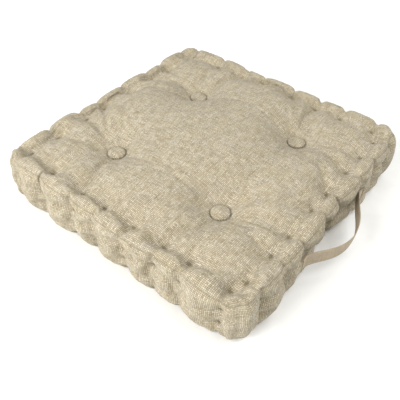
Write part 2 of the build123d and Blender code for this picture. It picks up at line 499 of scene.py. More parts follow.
LINEN = WovenFinish(
    "slubby_linen_plain_weave", "#6c634c", "#aa9f86", "#dcd4c3", "#554b35", yarn_mm=1.8, slub_mm=10.0, slubs=1.1,
    pit_shade=0.55,
)
TAPE = WovenFinish(
    "cotton_twill_tape", "#85765f", "#b0a188", "#cfc3ac", "#6f624d", yarn_mm=1.1, slub_mm=12.0, pit_shade=0.4, relief_mm=0.2
)
ROLL_THREAD = SpunFinish("linen_roll_thread", "#6d634b", "#948866", grain_mm=1.2)
HANDLE_THREAD = SpunFinish("cotton_sewing_thread", "#6f6350", "#968870", grain_mm=0.8)
TWINE = SpunFinish("waxed_flax_twine", "#9b8a62", "#c8b88e", grain_mm=0.9, roughness=0.6)
FIBRE = SpunFinish("polyester_fibre_fill", "#d9d7d0", "#f4f3ef", grain_mm=4.0, relief_mm=1.2)
SHELL_METAL = SheetMetalFinish("pressed_aluminium", "#c9cbcd", roughness=0.38)
BACK_METAL = SheetMetalFinish("zinc_plated_steel", "#aeb0b2", roughness=0.3)


@dataclass
class BoxCloth:
    """The sewn cover before stuffing: six flat panels bent to a box with round edges, as one welded grid."""

    half_width: float = 0.196
    low: float = 0.002
    high: float = 0.076
    bend_radius: float = 0.020
    cell: float = 0.004
    weld_gap: float = 0.01 * MM
    points: list = field(default_factory=list)
    faces: list = field(default_factory=list)
    panel: list = field(default_factory=list)
    cut: list = field(default_factory=list)
    seen: dict = field(default_factory=dict)

    def __post_init__(self) -> None:
        """Work out the flat cut sizes."""
        self.bend = math.pi / 4 * self.bend_radius
        self.middle = (self.low + self.high) / 2
        self.core = self.half_width - self.bend_radius
        self.core_height = (self.high - self.low) / 2 - self.bend_radius
        self.cut_half = self.core + self.bend
        self.cut_height = self.core_height + self.bend

    def turn_over(self, along: np.ndarray, core: float) -> tuple[np.ndarray, np.ndarray, np.ndarray]:
        """Where a flat coordinate lies once the cloth bends over an edge.

        Args:
            along: the flat coordinate.
            core: how far the cloth stays flat.

        Returns:
            The flat part, and the cosine and sine of the bend.
        """
        over = np.clip(np.abs(along) - core, 0, None)
        angle = math.pi / 2 - math.pi / 4 * over / self.bend
        return np.clip(along, -core, core), np.sign(along) * np.cos(angle), np.sin(angle)

    def face_height(self, level: Level) -> float:
        """The height of the top or bottom face."""
        return self.high if level is Level.TOP else self.low

    def face_points(self, u: np.ndarray, v: np.ndarray, level: Level) -> np.ndarray:
        """Bend the top or bottom panel to the box.

        Args:
            u: the flat coordinates across.
            v: the flat coordinates from front to back.
            level: which of the two panels.

        Returns:
            Their places.
        """
        x, cos_x, sin_x = self.turn_over(u, self.core)
        y, cos_y, sin_y = self.turn_over(v, self.core)
        out_x = cos_x * sin_y
        out_y = cos_y * sin_x
        up = np.sqrt(np.clip(1 - out_x**2 - out_y**2, 0, 1))
        z = self.middle + level.value * (self.core_height + self.bend_radius * up)
        return np.stack([x + self.bend_radius * out_x, y + self.bend_radius * out_y, z], -1)

    def side_points(self, u: np.ndarray, v: np.ndarray, side: Side) -> np.ndarray:
        """Bend a boxing to the box.

        Args:
            u: the flat coordinates along it.
            v: the flat coordinates up it.
            side: which boxing.

        Returns:
            Their places.
        """
        x, cos_x, sin_x = self.turn_over(u, self.core)
        z, cos_z, sin_z = self.turn_over(v, self.core_height)
        x = x + self.bend_radius * cos_x * sin_z
        y = -(self.core + self.bend_radius * sin_x * sin_z)
        z = self.middle + z + self.bend_radius * cos_z
        cos_turn, sin_turn = math.cos(side.value * math.pi / 2), math.sin(side.value * math.pi / 2)
        return np.stack([cos_turn * x - sin_turn * y, sin_turn * x + cos_turn * y, z], -1)

    def weld(self, grid: np.ndarray, number: int, u: np.ndarray, v: np.ndarray, flip: bool) -> None:
        """Add one panel's grid, sharing the vertices that it has in common with its neighbours.

        Args:
            grid: the places, by row and column.
            number: the panel's number.
            u: flat coordinates of the rows.
            v: flat coordinates of the columns.
            flip: whether the grid faces inwards as it comes.
        """
        numbers = np.empty(grid.shape[:2], int)
        for i, j in np.ndindex(numbers.shape):
            key = tuple(np.round(grid[i, j] / self.weld_gap).astype(int))
            if key not in self.seen:
                self.seen[key] = len(self.points)
                self.points.append(grid[i, j])
            numbers[i, j] = self.seen[key]
        for i, j in np.ndindex(numbers.shape[0] - 1, numbers.shape[1] - 1):
            ring = [(i, j), (i + 1, j), (i + 1, j + 1), (i, j + 1)]
            ring = ring[::-1] if flip else ring
            self.faces.append([numbers[corner] for corner in ring])
            self.cut.append([(u[a], v[b]) for a, b in ring])
            self.panel.append(number)

    def build(self) -> None:
        """Cut and weld the six panels."""
        wide = np.linspace(-self.cut_half, self.cut_half, round(2 * self.cut_half / self.cell) + 1)
        tall = np.linspace(-self.cut_height, self.cut_height, round(2 * self.cut_height / self.cell) + 1)
        flat = np.meshgrid(wide, wide, indexing="ij")
        for number, level in enumerate(Level):
            self.weld(self.face_points(*flat, level), number, wide, wide, level is Level.BOTTOM)
        strip = np.meshgrid(wide, tall, indexing="ij")
        for side in Side:
            self.weld(self.side_points(*strip, side), len(Level) + side.value, wide, tall, False)


@dataclass
class RollStitch:
    """One stitch that pinches an edge: where its thread shows on the panel and on the boxing."""

    level: Level
    side: Side
    along: float
    depth: float

    def turned(self, point: Sequence[float]) -> np.ndarray:
        """A point of the handle side, turned to this stitch's side."""
        angle = self.side.value * math.pi / 2
        return np.array(Matrix.Rotation(angle, 3, "Z") @ Vector(point))


@dataclass
class StuffedCover:
    """The cover, stuffed: pulled in at the tufts and roll stitches while the fibre presses it out."""

    # Where the stitches and the tufts take hold, and where they draw the cloth to.
    stitch_seed: int = 7
    stitches_per_side: int = 8
    stitch_pitch: float = 0.045
    stitch_jitter: float = 0.008
    roll_width: float = 0.027
    band_drop: float = 0.022
    stitch_scatter: float = 2 * MM
    panel_thread_at: float = 0.1725
    panel_thread_rise: float = 0.0280
    band_thread_rise: float = 0.0135
    tuft_pin_radius: float = 0.0128
    stitch_pin_radius: float = 0.0044
    button_gap: float = 0.2 * MM
    tape_gap: float = 0.1 * MM
    # The stuffing: the fibre's pressure, the cloth's stiffness and how far it eases.
    pressure: float = 100.0
    stiffness: float = 3.0
    bending: float = 1.2
    frames: int = 30
    draw_frames: int = 12
    cloth_mass: float = 0.3
    air_damping: float = 2.0
    quality: int = 6
    field_ease: float = 0.085
    edge_ease: float = 0.16
    field_begin: float = 0.024
    field_fade: float = 0.010
    cap: float = 0.045
    crown: float = 0.095
    floor_softness: float = 0.8 * MM
    # The side behind the handle.
    band_depth: float = 0.1900
    handle_recess: float = 0.004
    handle_reach: float = 0.06
    loop_recess: float = 0.002
    loop_half_span: float = 0.056
    one_row: float = 0.6
    tuck: float = 0.007
    tuck_half_width: float = 0.056
    tuck_top: float = 0.056
    tuck_fade: float = 0.024
    tuck_begin: float = 0.120
    tuck_run: float = 0.060
    tab_reach: float = 0.016
    # Grooves beside the rolls, pinches across them, and the rounding of the corners.
    groove_depth: float = 0.0024
    groove_width: float = 0.007
    pinch_depth: float = 0.0035
    pinch_width: float = 0.008
    pinch_reach: float = 0.032
    pinch_fade: float = 0.012
    middle_share: float = 1.3
    roll_share: float = 0.1
    corner_radius: float = 0.030
    corner_rounding: float = 0.75
    # Seams and their small gathers, and the painted shade in the creases; each shade has a strength and a width.
    seam_depth: float = 0.0008
    seam_width: float = 0.0028
    gather_depth: float = 0.3 * MM
    gather_pitch: float = 0.011
    gather_reach: float = 0.006
    seam_shade: tuple[float, float] = (0.22, 1.2 * MM)
    stitch_shade: tuple[float, float] = (0.8, 3.2 * MM)
    tuft_shade: tuple[float, float] = (0.85, 1.0 * MM)
    tuft_shade_radius: float = 12.9 * MM
    # The cloth's thickness and the fibre under it.
    cloth_thickness: float = 0.0011
    fibre_inset: float = 0.0032
    fibre_slack: float = 0.8
    fibre_passes: int = 3
    fibre_share: float = 0.75
    stitches: list[RollStitch] = field(default_factory=list)

    def __post_init__(self) -> None:
        """Find the tufts and lay out the stitches."""
        self.cloth = BoxCloth()
        self.tufts = {node: button_seat(node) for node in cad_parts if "_button_cover_" in node}
        scatter = np.random.default_rng(self.stitch_seed)
        middle = (self.stitches_per_side - 1) / 2
        for side in Side:
            for k in range(self.stitches_per_side):
                along = (k - middle) * self.stitch_pitch + scatter.uniform(-1, 1) * self.stitch_jitter
                for level in Level:
                    shift, depth = scatter.uniform(-1, 1, 2) * self.stitch_scatter
                    self.stitches.append(RollStitch(level, side, along + shift, depth))

    def panel_end(self, stitch: RollStitch) -> np.ndarray:
        """Where a stitch's thread lies in the groove on the panel."""
        height = self.cloth.middle + stitch.level.value * (self.panel_thread_rise + stitch.depth)
        return stitch.turned((stitch.along, -self.panel_thread_at, height))

    def band_end(self, stitch: RollStitch) -> np.ndarray:
        """Where a stitch's thread lies on the boxing.

        Args:
            stitch: the stitch.

        Returns:
            The middle of its thread.
        """
        behind_handle = stitch.side is Side.FRONT and abs(stitch.along) < self.handle_reach
        recess = self.handle_recess if behind_handle and stitch.level is Level.TOP else 0.0
        height = self.cloth.middle + stitch.level.value * self.band_thread_rise
        return stitch.turned((stitch.along, -(self.band_depth + stitch.depth - recess), height))

    def pins(self, points: np.ndarray) -> tuple[np.ndarray, np.ndarray]:
        """Where the tufts, the stitches and the handle's ends draw the cloth.

        Args:
            points: the cover's vertices before stuffing.

        Returns:
            The drawn places of all vertices, and a mask of the held ones.
        """
        drawn = points.copy()
        held = np.zeros(len(points), bool)

        def draw(start: np.ndarray, radius: float, end: np.ndarray) -> None:
            """Draw the cloth round one place to another.

            Args:
                start: the place on the cloth.
                radius: how far around it the cloth is held.
                end: the place that it is drawn to.
            """
            reach = np.linalg.norm(points - start, axis=1)
            near = reach < max(radius, reach.min() + TINY)
            drawn[near] = points[near] + (end - start)
            held[near] = True

        for (x, y, seat), level in self.tufts.values():
            start = np.array((x, y, self.cloth.face_height(level)))
            draw(start, self.tuft_pin_radius, np.array((x, y, seat + level.value * self.button_gap)))
        half = self.cloth.half_width
        for stitch in self.stitches:
            face = self.cloth.face_height(stitch.level)
            on_panel = stitch.turned((stitch.along, self.roll_width - half, face))
            draw(on_panel, self.stitch_pin_radius, self.panel_end(stitch))
            on_band = stitch.turned((stitch.along, -half, face - stitch.level.value * self.band_drop))
            draw(on_band, self.stitch_pin_radius, self.band_end(stitch))
        on_front = np.abs(points[:, 1] + half) < 0.1 * MM
        for node in TAPE_ENDS:
            low, high = (np.array(corner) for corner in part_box(node))
            inside = (points > low) & (points < high)
            under = on_front & inside[:, 0] & inside[:, 2]
            drawn[under, 1] = high[1] + self.tape_gap
            held |= under
        behind = on_front & (np.abs(points[:, 0]) < self.loop_half_span)
        behind &= np.abs(points[:, 2] - (low[2] + high[2]) / 2) < self.one_row * self.cloth.cell
        drawn[behind, 1] = self.loop_recess - self.band_depth
        held |= behind
        return drawn, held

    def stuff(self) -> np.ndarray:
        """Run the cloth simulation.

        Returns:
            The stuffed places of the cover's vertices.
        """
        points = np.array(self.cloth.points)
        drawn, held = self.pins(points)
        piece = add_object("cover_on_the_bench", make_mesh("cover_on_the_bench", points, self.cloth.faces))
        pin_group = piece.vertex_groups.new(name="held")
        pin_group.add(np.flatnonzero(held).tolist(), 1.0, "REPLACE")
        field_group = piece.vertex_groups.new(name="field")
        inner = np.maximum(np.abs(points[:, 0]), np.abs(points[:, 1]))
        amount = np.clip((self.cloth.half_width - self.field_begin - inner) / self.field_fade, 0, 1)
        for number in np.flatnonzero(amount > 0):
            field_group.add([int(number)], float(amount[number]), "REPLACE")
        piece.shape_key_add(name="Basis")
        key = piece.shape_key_add(name="drawn")
        key.data.foreach_set("co", drawn.ravel())
        for value, moment in ((0.0, 1), (1.0, self.draw_frames)):
            key.value = value
            key.keyframe_insert("value", frame=moment)
        stuffing = piece.modifiers.new("Stuffing", "CLOTH")
        wanted = {
            "quality": self.quality, "mass": self.cloth_mass, "tension_stiffness": self.stiffness,
            "compression_stiffness": self.stiffness, "shear_stiffness": self.stiffness / 3,
            "bending_stiffness": self.bending, "air_damping": self.air_damping, "use_pressure": True,
            "uniform_pressure_force": self.pressure, "vertex_group_mass": "held", "vertex_group_shrink": "field",
            "shrink_min": -self.edge_ease, "shrink_max": -self.field_ease,
        }
        for name, value in wanted.items():
            setattr(stuffing.settings, name, value)
        stuffing.settings.effector_weights.gravity = 0.0
        stuffing.collision_settings.use_collision = False
        stuffing.point_cache.frame_start = 1
        stuffing.point_cache.frame_end = self.frames
        for moment in range(1, self.frames + 1):
            bpy.context.scene.frame_set(moment)
        stuffed = read_rows(evaluated_mesh(piece).vertices, "co", 3)
        bpy.data.objects.remove(piece)
        bpy.context.scene.frame_set(1)
        moved = stuffed - drawn
        length = np.linalg.norm(moved, axis=1, keepdims=True)
        return drawn + moved * np.minimum(1, self.cap / np.maximum(length, TINY))

    def settle(self, stuffed: np.ndarray) -> np.ndarray:
        """Let the cushion lie on its base: flat where it rests, its crown pressed a little.

        Args:
            stuffed: the stuffed places of the vertices.

        Returns:
            The settled places.
        """
        lain = stuffed.copy()
        shoulder = self.cloth.high
        above = np.clip(lain[:, 2] - shoulder, 0, None)
        highest = max(above.max(), self.crown - shoulder)
        LOG.info("crown before it is pressed: %.4f m", shoulder + highest)
        press = 1 / (self.crown - shoulder) - 1 / highest
        lain[:, 2] += above / (1 + above * press) - above
        lain[:, 2] = self.floor_softness * np.logaddexp(0, lain[:, 2] / self.floor_softness)
        return lain

    def gather(self, lain: np.ndarray) -> np.ndarray:
        """Round the corners, and draw the cloth in along the grooves and across the rolls at each stitch.

        Args:
            lain: the settled places of the vertices.

        Returns:
            The gathered places.
        """
        places = lain.copy()
        start = np.array(self.cloth.points)
        begin = self.cloth.half_width - self.corner_radius
        past = np.clip(np.abs(places[:, :2]) - begin, 0, None)
        square, circle = past.max(1), np.linalg.norm(past, axis=1)
        pull = 1 + self.corner_rounding * (square / np.maximum(circle, TINY) - 1)
        in_corner = past.min(1) > 0
        rounded = np.sign(places[:, :2]) * (begin + past * pull[:, None])
        places[in_corner, :2] = rounded[in_corner]
        behind_handle = bump_curve((places[:, 0] / self.tuck_half_width) ** 2, 1.0)
        below_roll = np.clip((self.tuck_top - places[:, 2]) / self.tuck_fade, 0, 1)
        near_side = np.clip((-places[:, 1] - self.tuck_begin) / self.tuck_run, 0, 1)
        places[:, 1] += self.tuck * behind_handle * below_roll**2 * (3 - 2 * below_roll) * near_side
        mesh = make_mesh("gathering", places, self.cloth.faces)
        normals = read_rows(mesh.vertices, "normal", 3)
        x, y, z = start.T
        nearest_side = np.argmax([-y, x, y, -x], axis=0)
        along = np.choose(nearest_side, [x, y, -x, -y])
        from_edge = self.cloth.half_width - np.abs(start[:, :2]).max(1)
        on_face = np.abs(z - self.cloth.middle) > self.cloth.core_height
        groove = self.groove_depth * bump_curve(from_edge - self.roll_width, self.groove_width) * on_face
        gap = np.full(len(start), np.inf)
        for stitch in self.stitches:
            mine = (nearest_side == stitch.side.value) & ((z - self.cloth.middle) * stitch.level.value >= 0)
            gap[mine] = np.minimum(gap[mine], np.abs(along[mine] - stitch.along))
        amidships = self.middle_share - np.abs(z - self.cloth.middle) / self.cloth.core_height
        pinch = self.pinch_depth * bump_curve(gap, self.pinch_width) * np.clip(amidships, self.roll_share, 1)
        pinch *= np.clip((self.pinch_reach - from_edge) / self.pinch_fade, 0, 1)
        low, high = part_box("handle_right_end")
        tab = 1.0
        for distance in (np.abs(x) - (low[0] + high[0]) / 2, z - (low[2] + high[2]) / 2):
            tab = tab * bump_curve((distance / self.tab_reach) ** 2, 1.0)
        pinch *= 1 - tab * (nearest_side == Side.FRONT.value)
        places -= normals * (groove + pinch)[:, None]
        places[:, 2] = np.maximum(places[:, 2], 0)
        bpy.data.meshes.remove(mesh)
        return places

    def finish_surface(self, lain: np.ndarray) -> Mesh:
        """Smooth the cover, press the seams into it and paint shade into its creases.

        Args:
            lain: the gathered places of the vertices.

        Returns:
            The whole outer surface, with the panel's number on each face.
        """
        rough = make_mesh("cover_surface", lain, self.cloth.faces, np.array(self.cloth.cut).reshape(-1, 2))
        number = rough.attributes.new("panel", "INT", "FACE")
        number.data.foreach_set("value", self.cloth.panel)
        piece = add_object("cover_surface", rough)
        smooth = piece.modifiers.new("Smooth", "SUBSURF")
        smooth.levels = smooth.render_levels = 1
        mesh = evaluated_mesh(piece)
        bpy.data.objects.remove(piece)
        cut = read_rows(mesh.uv_layers[CUT_MAP].data, "uv", 2)
        corner = read_rows(mesh.loops, "vertex_index", 1)[:, 0].astype(int)
        panel = np.repeat(read_rows(mesh.attributes["panel"].data, "value", 1)[:, 0], 4)
        face_gap = self.cloth.cut_half - np.abs(cut).max(1)
        band_gap = self.cloth.cut_height - np.abs(cut[:, 1])
        seam = np.zeros(len(mesh.vertices))
        seam[corner] = np.where(panel < len(Level), face_gap, band_gap)
        places = read_rows(mesh.vertices, "co", 3)
        normals = read_rows(mesh.vertices, "normal", 3)
        run = places[:, 0] + places[:, 1]
        gathers = self.gather_depth * np.sin(run * 2 * math.pi / self.gather_pitch) * np.exp(-seam / self.gather_reach)
        places += normals * (gathers - self.seam_depth * bump_curve(seam, self.seam_width))[:, None]
        places[:, 2] = np.maximum(places[:, 2], 0)
        mesh.vertices.foreach_set("co", places.ravel())
        mesh.update()
        self.tree = BVHTree.FromPolygons(places.tolist(), [tuple(face.vertices) for face in mesh.polygons])
        paint_crease_shade(mesh, self.crease_shades(places, seam))
        return mesh

    def crease_shades(self, places: np.ndarray, seam: np.ndarray) -> np.ndarray:
        """Find how much painted shade the cloth gets in the creases at its seams, its stitches and its tufts.

        Args:
            places: the finished places of the surface's vertices.
            seam: how far each of them is from a seam.

        Returns:
            A number from nought to one for each vertex.
        """
        strength, width = self.seam_shade
        crease_shade = strength * bump_curve(seam, width)
        strength, width = self.stitch_shade
        for stitch in self.stitches:
            for end in (self.panel_end(stitch), self.band_end(stitch)):
                spot, _ = self.on_cloth(end)
                near = np.linalg.norm(places - spot, axis=1)
                crease_shade = np.maximum(crease_shade, strength * bump_curve(near, width))
        strength, width = self.tuft_shade
        for (x, y, _), level in self.tufts.values():
            across = np.hypot(places[:, 0] - x, places[:, 1] - y)
            same_face = (places[:, 2] > self.cloth.middle) == (level is Level.TOP)
            ring = bump_curve(across - self.tuft_shade_radius, width) * same_face
            crease_shade = np.maximum(crease_shade, strength * ring)
        return crease_shade

    def on_cloth(self, point: np.ndarray) -> tuple[np.ndarray, np.ndarray]:
        """The nearest place on the finished cover, and the way it faces."""
        spot, normal, _, _ = self.tree.find_nearest(Vector(point))
        return np.array(spot), np.array(normal)

    def cut_panels(self, whole: Mesh, material: Material) -> None:
        """Part the surface into its six panels of cloth, and dress and place each.

        Args:
            whole: the finished outer surface.
            material: the cloth.
        """
        places = read_rows(whole.vertices, "co", 3)
        normals = read_rows(whole.vertices, "normal", 3)
        faces = read_rows(whole.loops, "vertex_index", 1).astype(int).reshape(-1, 4)
        cut = read_rows(whole.uv_layers[CUT_MAP].data, "uv", 2).reshape(-1, 4, 2)
        panel = read_rows(whole.attributes["panel"].data, "value", 1)[:, 0]
        crease_shade = read_rows(whole.attributes[CREASE_SHADE].data, "value", 1)[:, 0]
        for number, name in enumerate(PANELS):
            mine = panel == number
            used, local = np.unique(faces[mine], return_inverse=True)
            mesh = self.cloth_wall(name, places[used], normals[used], local.reshape(-1, 4), cut[mine])
            # the painted crease shade, carried to both faces of the panel
            paint_crease_shade(mesh, np.tile(crease_shade[used], 2))
            piece = add_object(f"linen_{name}", mesh, material)
            place(piece, "root", "linen_cloth", name)

    def cloth_wall(self, name: str, outer: np.ndarray, normals: np.ndarray, faces: np.ndarray,
                   cut: np.ndarray) -> Mesh:
        """Give one panel its thickness, inwards, with its shading unbroken at the seams.

        Args:
            name: the mesh's name.
            outer: places of its outer face's vertices.
            normals: which way the whole cover faces at each of them.
            faces: the outer face's squares.
            cut: the cloth's flat coordinates at each square's corners.

        Returns:
            The closed mesh.
        """
        count = len(outer)
        edges, rim, rim_cut = {}, [], []
        for face, corners in zip(faces, cut):
            for k in range(4):
                pair = int(face[k]), int(face[(k + 1) % 4])
                edges[pair] = corners[k], corners[(k + 1) % 4]
        for (a, b), (cut_a, cut_b) in edges.items():
            if (b, a) not in edges:
                rim.append((b, a, a + count, b + count))
                rim_cut += [cut_b, cut_a, cut_a, cut_b]
        points = np.vstack([outer, outer - normals * self.cloth_thickness])
        all_faces = [*faces, *(faces[:, ::-1] + count), *rim]
        all_cut = np.vstack([cut.reshape(-1, 2), cut[:, ::-1].reshape(-1, 2), np.array(rim_cut)])
        mesh = make_mesh(name, points, all_faces, all_cut)
        mesh.normals_split_custom_set_from_vertices(np.vstack([normals, -normals]).tolist())
        return mesh

    def pack_fibre(self, lain: np.ndarray, material: Material) -> None:
        """Make the block of fibre just inside the cover.

        Args:
            lain: the gathered places of the cover's vertices.
            material: the fibre.
        """
        mesh = make_mesh("fibre_block", lain, self.cloth.faces)
        inside = lain - read_rows(mesh.vertices, "normal", 3) * self.fibre_inset
        pairs = read_rows(mesh.edges, "vertices", 2).astype(int)
        share = np.bincount(pairs.ravel(), minlength=len(inside))[:, None]
        for _ in range(self.fibre_passes):
            total = np.zeros_like(inside)
            np.add.at(total, pairs[:, 0], inside[pairs[:, 1]])
            np.add.at(total, pairs[:, 1], inside[pairs[:, 0]])
            inside = total / share
            for number, point in enumerate(inside):
                spot, normal = self.on_cloth(point)
                if (point - spot) @ normal > -self.fibre_slack * self.fibre_inset:
                    inside[number] = spot - normal * self.fibre_inset
        mesh.vertices.foreach_set("co", inside.ravel())
        mesh.update()
        piece = add_object("fibre_block", mesh, material)
        place(piece, "root", "fibre_fill", "fibre_fill")

    def build(self, cloth_material: Material, fibre_material: Material) -> None:
        """Sew, stuff, settle and finish the cover.

        Args:
            cloth_material: the linen.
            fibre_material: the filling.
        """
        self.cloth.build()
        LOG.info("cover: %d faces to stuff", len(self.cloth.faces))
        lain = self.gather(self.settle(self.stuff()))
        surface = self.finish_surface(lain)
        self.pack_fibre(lain, fibre_material)
        self.cut_panels(surface, cloth_material)


@dataclass
class ThreadTree:
    """A Geometry Nodes tree that lays one arched thread stitch on each point it is given."""

    name: str
    radius: float
    length: float
    rise: float
    sides: int = 8
    seed: int = 3
    size_spread: float = 0.12

    def build(self) -> Tree:
        """Build the tree.

        Returns:
            The tree, with named inputs for its sizes, its seed and its material.
        """
        tree = bpy.data.node_groups.new(self.name, "GeometryNodeTree")
        face = tree.interface
        face.new_socket("Geometry", in_out="INPUT", socket_type="NodeSocketGeometry")
        for name, kind in (("Thread Radius", "Float"), ("Stitch Length", "Float"), ("Rise", "Float"),
                           ("Seed", "Int"), ("Thread", "Material")):
            face.new_socket(name, in_out="INPUT", socket_type=f"NodeSocket{kind}")
        face.new_socket("Geometry", in_out="OUTPUT", socket_type="NodeSocketGeometry")
        given = add_node(tree, "NodeGroupInput").outputs
        half = calculate(tree, "MULTIPLY", given["Stitch Length"], 0.5)
        dip = calculate(tree, "MULTIPLY", given["Rise"], -1.0)
        start, top, end = (
            add_node(tree, "ShaderNodeCombineXYZ", parts).outputs[0]
            for parts in ({0: calculate(tree, "MULTIPLY", half, -1.0), 2: dip}, {2: given["Rise"]}, {0: half, 2: dip})
        )
        arch = add_node(
            tree, "GeometryNodeCurveQuadraticBezier", {"Resolution": 8, "Start": start, "Middle": top, "End": end}
        )
        ring = add_node(
            tree, "GeometryNodeCurvePrimitiveCircle", {"Resolution": self.sides, "Radius": given["Thread Radius"]}
        )
        strand = add_node(
            tree, "GeometryNodeCurveToMesh",
            {"Curve": arch.outputs[0], "Profile Curve": ring.outputs[0], "Fill Caps": True},
        )
        along, out = (
            add_node(tree, "GeometryNodeInputNamedAttribute", {"Name": name}, data_type="FLOAT_VECTOR").outputs[0]
            for name in ("along", "out")
        )
        lined = add_node(tree, "FunctionNodeAlignRotationToVector", {"Vector": along}, axis="X")
        upright = add_node(
            tree, "FunctionNodeAlignRotationToVector", {"Rotation": lined.outputs[0], "Vector": out}, axis="Z",
            pivot_axis="X",
        )
        ends = {2: 1 - self.size_spread, 3: 1 + self.size_spread}
        size = add_node(tree, "FunctionNodeRandomValue", {**ends, "Seed": given["Seed"]}, data_type="FLOAT")
        laid = add_node(
            tree, "GeometryNodeInstanceOnPoints",
            {"Points": given["Geometry"], "Instance": strand.outputs[0], "Rotation": upright.outputs[0],
             "Scale": size.outputs[1]},
        )
        real = add_node(tree, "GeometryNodeRealizeInstances", {0: laid.outputs[0]})
        smooth = add_node(tree, "GeometryNodeSetShadeSmooth", {0: real.outputs[0]})
        dressed = add_node(
            tree, "GeometryNodeSetMaterial", {"Geometry": smooth.outputs[0], "Material": given["Thread"]}
        )
        add_node(tree, "NodeGroupOutput", {0: dressed.outputs[0]})
        return tree

    def sew(self, name: str, points: np.ndarray, along: np.ndarray, out: np.ndarray,
            material: Material) -> Piece:
        """Lay the stitches and turn them to a plain mesh.

        Args:
            name: the piece's name.
            points: where each stitch's middle lies.
            along: each stitch's direction.
            out: the direction that each stitch arches towards.
            material: the thread.

        Returns:
            The piece.
        """
        mesh = make_mesh(f"{name}_points", points, [])
        for label, rows in (("along", along), ("out", out)):
            attribute = mesh.attributes.new(label, "FLOAT_VECTOR", "POINT")
            attribute.data.foreach_set("vector", np.asarray(rows, np.float32).ravel())
        holder = add_object(f"{name}_points", mesh)
        modifier = holder.modifiers.new("Stitches", "NODES")
        modifier.node_group = self.build()
        values = {"Thread Radius": self.radius, "Stitch Length": self.length, "Rise": self.rise,
                  "Seed": self.seed, "Thread": material}
        for item in modifier.node_group.interface.items_tree:
            if item.item_type == "SOCKET" and item.in_out == "INPUT" and item.name in values:
                modifier[item.identifier] = values[item.name]
        piece = add_object(name, evaluated_mesh(holder), material)
        bpy.data.objects.remove(holder)
        return piece


@dataclass
class RollStitches:
    """The hand-sewn thread of the rolls, laid on the stuffed cloth."""

    thread: ThreadTree = field(default_factory=lambda: ThreadTree("roll_stitch", 0.7 * MM, 8 * MM, 0.8 * MM))
    proud: float = 0.3

    def build(self, cover: StuffedCover, material: Material) -> None:
        """Sew the stitches of both faces.

        Args:
            cover: the stuffed cover that they hold.
            material: the thread.
        """
        for level in Level:
            points, along, out = [], [], []
            for stitch in cover.stitches:
                if stitch.level is not level:
                    continue
                for end in (cover.panel_end(stitch), cover.band_end(stitch)):
                    spot, normal = cover.on_cloth(end)
                    points.append(spot + normal * self.proud * MM)
                    along.append(stitch.turned((1, 0, 0)))
                    out.append(normal)
            node = f"{level.name.lower()}_roll_stitches"
            piece = self.thread.sew(f"{level.name.lower()}_roll_thread", points, along, out, material)
            place(piece, "root", "roll_thread", node)


@dataclass
class CoveredButton:
    """A button covered with the cushion's own cloth, gathered in pleats behind its rim."""

    radius: float = 0.0126
    rise: float = 0.0061
    rim: float = 0.0016
    pleats: int = 22
    pleat_depth: float = 0.22 * MM
    pleat_power: int = 8
    rings: int = 14
    spokes: int = 66
    tucked_under: tuple = ((1.0, 0.96 * MM), (0.985, 0.4 * MM), (0.94, 0.1 * MM), (0.8, 0.05 * MM))
    edge_shade: float = 0.8
    edge_width: float = 0.05

    def profile(self) -> np.ndarray:
        """Follow the cloth from the middle of the dome to its back.

        Returns:
            Radius, height and how pleated it is, one row each.
        """
        dome = [(math.sin(a) * self.radius, self.rim + (self.rise - self.rim) * math.cos(a))
                for a in np.linspace(0, math.pi / 2, self.rings)[1:]]
        tucked = [(share * self.radius, height) for share, height in self.tucked_under]
        return np.array([(r, z, (r / self.radius) ** self.pleat_power if z >= self.rim else 1.0)
                         for r, z in dome + tucked])

    def build(self, node: str, material: Material) -> None:
        """Make one button's cover where its CAD node lies.

        Args:
            node: the CAD node that it stands for.
            material: the cloth.
        """
        centre, level = button_seat(node)
        angles = np.linspace(0, 2 * math.pi, self.spokes, endpoint=False)
        rows = self.profile()
        points = [(0, 0, self.rise)]
        for radius, height, pleated in rows:
            pucker = 1 - self.pleat_depth / self.radius * pleated * (1 + np.cos(self.pleats * angles))
            points += [(radius * p * math.cos(a), radius * p * math.sin(a), height) for a, p in zip(angles, pucker)]
        points.append((0, 0, rows[-1][1]))
        points = np.array(points)
        faces = [(0, 1 + k, 1 + (k + 1) % self.spokes) for k in range(self.spokes)]
        for ring in range(len(rows) - 1):
            for k in range(self.spokes):
                a, b = 1 + ring * self.spokes + k, 1 + ring * self.spokes + (k + 1) % self.spokes
                faces.append((a, a + self.spokes, b + self.spokes, b))
        last = 1 + (len(rows) - 1) * self.spokes
        faces += [(last + (k + 1) % self.spokes, last + k, len(points) - 1) for k in range(self.spokes)]
        if level is Level.BOTTOM:
            faces = [f[::-1] for f in faces]
        cut = np.vstack([points[list(f), :2] + centre[:2] for f in faces])
        placed = centre + points * np.array((1, 1, level.value))
        mesh = make_mesh(node, placed, faces, cut)
        edge = np.hypot(points[:, 0], points[:, 1]) / self.radius
        near_edge = np.clip((edge - 1 + self.edge_width) / self.edge_width, 0, 1)
        # Painted shade on the tucked-under cloth at the rim, where the gap behind the button lies in shadow.
        paint_crease_shade(mesh, self.edge_shade * near_edge * (points[:, 2] < 0.5 * self.rise))
        piece = add_object(f"cloth_{node}", mesh, material)
        place(piece, "root", "linen_cloth", node)


